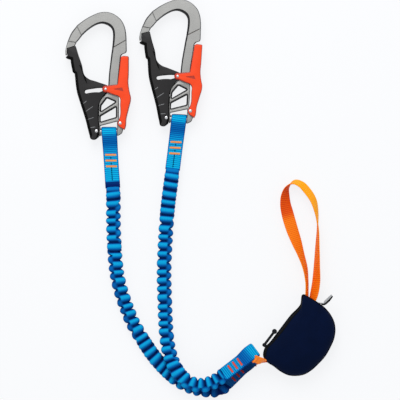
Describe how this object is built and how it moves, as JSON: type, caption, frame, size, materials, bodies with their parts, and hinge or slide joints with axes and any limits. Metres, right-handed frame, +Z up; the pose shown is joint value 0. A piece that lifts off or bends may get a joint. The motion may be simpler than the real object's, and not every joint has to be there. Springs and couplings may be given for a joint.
{
  "type": "via ferrata lanyard",
  "caption": "Via ferrata lanyard with stretch arms, palm-squeeze carabiners, a zipped absorber pouch and a twisted tie-in loop, laid out flat.",
  "frame": {"origin": "middle of the footprint of the laid-out lanyard without the free stretch arms, on the surface it lies on", "axes": "+Z up, away from the surface; +Y from the pouch's end towards the carabiners; +X from the first carabiner towards the pouch"},
  "size_m": [0.3174, 0.4711, 0.03],
  "materials": {
    "forged_frame": "clear anodised, satin",
    "black_moulding": "fine moulded texture",
    "orange_lever": "anodised, satin",
    "rivet_steel": "polished",
    "spring_steel": "drawn wire",
    "spacer_nylon": "as moulded",
    "blue_webbing": "woven, gathered",
    "elastic": "covered rubber strands",
    "tack_thread": "bar-tacked thread",
    "tack_thread_red": "bar-tacked thread",
    "orange_tape": "woven tape",
    "navy_fabric": "smooth stretch fabric over foam",
    "zip_black": "moulded teeth and woven tape",
    "zip_metal_black": "black paint",
    "label_grey": "woven label"
  },
  "bodies": {
    "lanyard": {"absorber_webbing": "orange_tape", "arm_sleeve_a": "blue_webbing", "arm_sleeve_b": "blue_webbing", "elastic_core_a": "elastic", "elastic_core_b": "elastic", "label_tab": "label_grey", "link_tape": "orange_tape", "lower_eye_a": "blue_webbing", "lower_eye_b": "blue_webbing", "lower_tacks_a": "tack_thread_red", "lower_tacks_b": "tack_thread_red", "pouch_back": "navy_fabric", "pouch_front": "navy_fabric", "tie_in_loop": "orange_tape", "upper_eye_a": "blue_webbing", "upper_eye_b": "blue_webbing", "upper_tacks_a": "tack_thread", "upper_tacks_b": "tack_thread", "zip_chain": "zip_black", "zip_tape_back": "zip_black", "zip_tape_front": "zip_black"},
    "carabiner_a": {"frame_a": "forged_frame", "gate_rivet_a": "rivet_steel", "lever_rivet_a": "rivet_steel", "gate_spring_a": "spring_steel", "lever_spring_a": "spring_steel", "gate_spacer_a": "spacer_nylon", "lever_spacer_a": "spacer_nylon"},
    "gate_body_a": {"gate_a": "black_moulding"},
    "lever_body_a": {"lever_a": "orange_lever", "lock_pin_a": "rivet_steel"},
    "carabiner_b": {"frame_b": "forged_frame", "gate_rivet_b": "rivet_steel", "lever_rivet_b": "rivet_steel", "gate_spring_b": "spring_steel", "lever_spring_b": "spring_steel", "gate_spacer_b": "spacer_nylon", "lever_spacer_b": "spacer_nylon"},
    "gate_body_b": {"gate_b": "black_moulding"},
    "lever_body_b": {"lever_b": "orange_lever", "lock_pin_b": "rivet_steel"},
    "zip_slider_body": {"zip_slider": "zip_metal_black"},
    "zip_pull_body": {"zip_pull": "zip_metal_black"}
  },
  "joints": [
    {"name": "carabiner_a_swing", "type": "hinge", "parent": "lanyard", "child": "carabiner_a", "pos_m": [-0.10695, 0.0741, 0.0097], "axis": [1, 0, 0], "range_deg": [0, 90]},
    {"name": "gate_a_open", "type": "hinge", "parent": "carabiner_a", "child": "gate_body_a", "pos_m": [-0.12193, 0.07516, 0.0097], "axis": [0, 0, -1], "range_deg": [0, 20], "stiffness_Nm_per_rad": 0.6, "springref_deg": -14.32},
    {"name": "lever_a_squeeze", "type": "hinge", "parent": "carabiner_a", "child": "lever_body_a", "pos_m": [-0.09397, 0.08448, 0.0097], "axis": [0, 0, 1], "range_deg": [0, 5], "stiffness_Nm_per_rad": 0.6, "springref_deg": -6.88},
    {"name": "carabiner_b_swing", "type": "hinge", "parent": "lanyard", "child": "carabiner_b", "pos_m": [-0.02475, 0.089, 0.0097], "axis": [0.9986, -0.0523, 0], "range_deg": [0, 90]},
    {"name": "gate_b_open", "type": "hinge", "parent": "carabiner_b", "child": "gate_body_b", "pos_m": [-0.03966, 0.09084, 0.0097], "axis": [0, 0, -1], "range_deg": [0, 20], "stiffness_Nm_per_rad": 0.6, "springref_deg": -14.32},
    {"name": "lever_b_squeeze", "type": "hinge", "parent": "carabiner_b", "child": "lever_body_b", "pos_m": [-0.01125, 0.09869, 0.0097], "axis": [0, 0, 1], "range_deg": [0, 5], "stiffness_Nm_per_rad": 0.6, "springref_deg": -6.88},
    {"name": "zip_slide", "type": "slide", "parent": "lanyard", "child": "zip_slider_body", "axis": [0.6046, 0.7965, 0], "range_m": [0, 0.04]},
    {"name": "zip_pull_turn", "type": "hinge", "parent": "zip_slider_body", "child": "zip_pull_body", "pos_m": [0.07571, -0.17684, 0.015], "axis": [0, 0, 1], "range_deg": [0, 95]}
  ],
  "couplings": [
    {"joint": "lever_a_squeeze", "follows": "gate_a_open", "ratio": 0.25},
    {"joint": "lever_b_squeeze", "follows": "gate_b_open", "ratio": 0.25}
  ]
}
